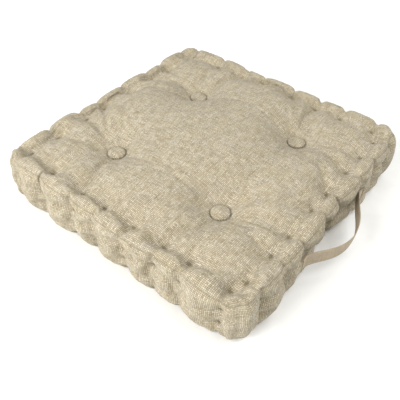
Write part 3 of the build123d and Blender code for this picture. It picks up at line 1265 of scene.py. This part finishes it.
@dataclass
class Handle:
    """The tape handle: one strip of tape, turned under and sewn at both ends, with a loop that stands out."""

    width: float = 0.022
    thickness: float = 0.0014
    half_span: float = 0.066
    reach: float = 0.027
    per_span: int = 10
    softening: int = 60
    columns: int = 8
    side_at: float = 0.2
    droop: float = 1.0 * MM
    lean: float = math.radians(5)
    edge_share: float = 0.9
    bend_length: float = 0.013
    stitches: int = 5
    stitch_inset: float = 0.004
    stitch_margin: float = 0.0025
    stitch_lift: float = 0.15 * MM
    fold: tuple = ((0.005, 0.0), (0.0012, 0.0), (0.0004, 0.5), (0.0012, 1.0), (0.006, 1.0))
    loop: tuple = (
        (-1.0, 0.0), (-0.84, 0.18), (-0.6, 0.64), (-0.28, 1.0), (0.12, 1.0), (0.46, 0.72), (0.78, 0.24), (1.0, 0.0),
    )
    thread: ThreadTree = field(default_factory=lambda: ThreadTree("handle_stitch", 0.55 * MM, 3.4 * MM, 0.5 * MM))

    def route(self) -> np.ndarray:
        """The middle line of the tape seen from above, from one turned-under end to the other.

        Returns:
            Places in metres, one row each.
        """
        low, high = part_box("handle_left_end")
        under = high[1] - self.thickness / 2
        over = low[1] + self.thickness / 2
        left = [(-self.half_span - 1 * MM, under)]
        left += [(low[0] + inset, under + (over - under) * rise) for inset, rise in self.fold]
        loop = [(x * self.half_span, over - self.reach * out) for x, out in self.loop]
        right = [(-x, y) for x, y in reversed(left)]
        line = spline_through(left + loop + right, self.per_span)
        sewn = len(left) * self.per_span
        after = len(line) - sewn + 1
        for _ in range(self.softening):
            line[sewn:-sewn] = (line[sewn - 1:-sewn - 1] + 2 * line[sewn:-sewn] + line[sewn + 1:after]) / 4
        return line

    def build(self, material: Material) -> None:
        """Weave the tape along its route, and let its loop swing.

        Args:
            material: the tape.
        """
        line = self.route()
        low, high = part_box("handle_loop")
        middle = (low[2] + high[2]) / 2
        tangent = np.gradient(line, axis=0)
        tangent /= np.linalg.norm(tangent, axis=1, keepdims=True)
        outward = np.stack([tangent[:, 1], -tangent[:, 0]], -1)
        run = np.concatenate([[0], np.cumsum(np.linalg.norm(np.diff(line, axis=0), axis=1))])
        standing = np.clip((-self.side_at - line[:, 1]) / self.reach, 0, 1)
        droop = self.droop * standing**2
        lean = self.lean * standing
        across = np.linspace(-0.5, 0.5, self.columns + 1) * self.width
        round_edge = 0.5 * self.thickness * np.sqrt(1 - (2 * across / self.width) ** 2 * self.edge_share)
        ring = [(a, h) for a, h in zip(across, round_edge)] + [(a, -h) for a, h in zip(across[::-1], round_edge[::-1])]
        count = len(ring)
        points, cut_rows = [], []
        for (x, y), (nx, ny), s, d, tilt in zip(line, outward, run, droop, lean):
            for a, h in ring:
                up = a * math.cos(tilt) - h * math.sin(tilt)
                out = h * math.cos(tilt) + a * math.sin(tilt)
                points.append((x + nx * out, y + ny * out, middle - d + up))
                cut_rows.append((s, a))
        faces = []
        for row in range(len(line) - 1):
            for k in range(count):
                a, b = row * count + k, row * count + (k + 1) % count
                faces.append((a, b, b + count, a + count))
        faces.append(tuple(range(count))[::-1])
        faces.append(tuple(range((len(line) - 1) * count, len(line) * count)))
        cut = [cut_rows[v] for f in faces for v in f]
        mesh = make_mesh("handle_tape", np.array(points), faces, cut)
        piece = add_object("handle_tape", mesh, material)
        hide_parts("handle_loop", "handle_left_stretch", "handle_right_stretch", *TAPE_ENDS)
        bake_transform(piece)
        LOG.info("handle_tape: %.3f m of tape", run[-1])

    def sew(self, material: Material) -> None:
        """Sew a row of stitches across each end.

        Args:
            material: the thread.
        """
        points = []
        for node in TAPE_ENDS:
            low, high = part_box(node)
            x = low[0] + self.stitch_inset if low[0] < 0 else high[0] - self.stitch_inset
            row = np.linspace(low[2] + self.stitch_margin, high[2] - self.stitch_margin, self.stitches)
            points += [(x, low[1] - self.stitch_lift, z) for z in row]
        along = np.tile((0, 0, 1), (len(points), 1))
        out = np.tile((0, -1, 0), (len(points), 1))
        piece = self.thread.sew("handle_end_thread", np.array(points), along, out, material)
        place(piece, "root", "handle_thread", "handle_stitching")


@dataclass
class Studio:
    """A pale floor, soft lights and the camera."""

    camera_at: tuple[float, float, float] = (-0.4233, -0.3195, 0.4887)
    aim: tuple[float, float, float] = (-0.0367, -0.0165, 0.0)
    lens: float = 44.25
    near_clip: float = 0.01
    roll: float = 1.05
    floor_half: float = 4.0
    floor_height: float = -0.3 * MM
    sky: str = "#f4f4f2"
    sky_strength: float = 0.52
    lamps: dict = field(default_factory=lambda: {
        "key": ((-1.3, 0.4, 0.9), 1.0, 30.0), "fill": ((0.6, -0.9, 1.8), 1.5, 31.0),
    })

    def build(self) -> None:
        """Set up the floor, the lights and the camera."""
        signs = ((-1, -1), (1, -1), (1, 1), (-1, 1))
        corners = np.array([(x * self.floor_half, y * self.floor_half, 0) for x, y in signs])
        paper = SpunFinish("pale_backdrop_paper", "#f1f1ef", "#f6f6f4", grain_mm=30, relief_mm=0.0)
        floor = add_object("studio_floor", make_mesh("studio_floor", corners, [(0, 1, 2, 3)]), paper.build())
        floor.location.z = self.floor_height
        for name, (at, size, power) in self.lamps.items():
            self.light(name, at, size, power)
        world = bpy.data.worlds.new("soft_room")
        world.use_nodes = True
        sky = world.node_tree.nodes["Background"]
        sky.inputs["Color"].default_value = linear(self.sky)
        sky.inputs["Strength"].default_value = self.sky_strength
        bpy.context.scene.world = world
        bpy.context.scene.view_settings.view_transform = "Standard"
        data = bpy.data.cameras.new("camera")
        data.lens = self.lens
        data.clip_start = self.near_clip
        camera = bpy.data.objects.new("camera", data)
        bpy.context.scene.collection.objects.link(camera)
        look = (Vector(self.aim) - Vector(self.camera_at)).to_track_quat("-Z", "Y").to_matrix().to_4x4()
        turn = Matrix.Rotation(math.radians(self.roll), 4, "Z")
        camera.matrix_world = Matrix.Translation(self.camera_at) @ look @ turn
        bpy.context.scene.camera = camera

    def light(self, name: str, at: tuple[float, float, float], size: float, power: float) -> None:
        """Hang one soft light that faces the cushion.

        Args:
            name: the light's name.
            at: its place.
            size: the side of its square.
            power: watts.
        """
        data = bpy.data.lights.new(name, "AREA")
        data.shape = "SQUARE"
        data.size = size
        data.energy = power
        lamp = bpy.data.objects.new(name, data)
        bpy.context.scene.collection.objects.link(lamp)
        lamp.location = at
        lamp.rotation_euler = (-Vector(at)).to_track_quat("-Z", "Y").to_euler()


def dress_hidden_pieces() -> None:
    """Give the CAD pieces inside the cushion their own finishes."""
    finishes = {"_button_shell_": SHELL_METAL, "_button_back_": BACK_METAL, "tuft_twine": TWINE}
    for mark, finish in finishes.items():
        material = finish.build()
        for node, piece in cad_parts.items():
            if mark in node:
                for material_slot in piece.material_slots:
                    material_slot.material = material
                LOG.info("%s: %s", node, finish.name)


def main() -> None:
    """Build the cushion in order."""
    logging.basicConfig(level=logging.INFO, format="%(message)s")
    Studio().build()
    linen = LINEN.build()
    cover = StuffedCover()
    cover.build(linen, FIBRE.build())
    RollStitches().build(cover, ROLL_THREAD.build())
    button = CoveredButton()
    for node in cover.tufts:
        button.build(node, linen)
    handle = Handle()
    handle.build(TAPE.build())
    handle.sew(HANDLE_THREAD.build())
    dress_hidden_pieces()


if __name__ == "__main__":
    main()
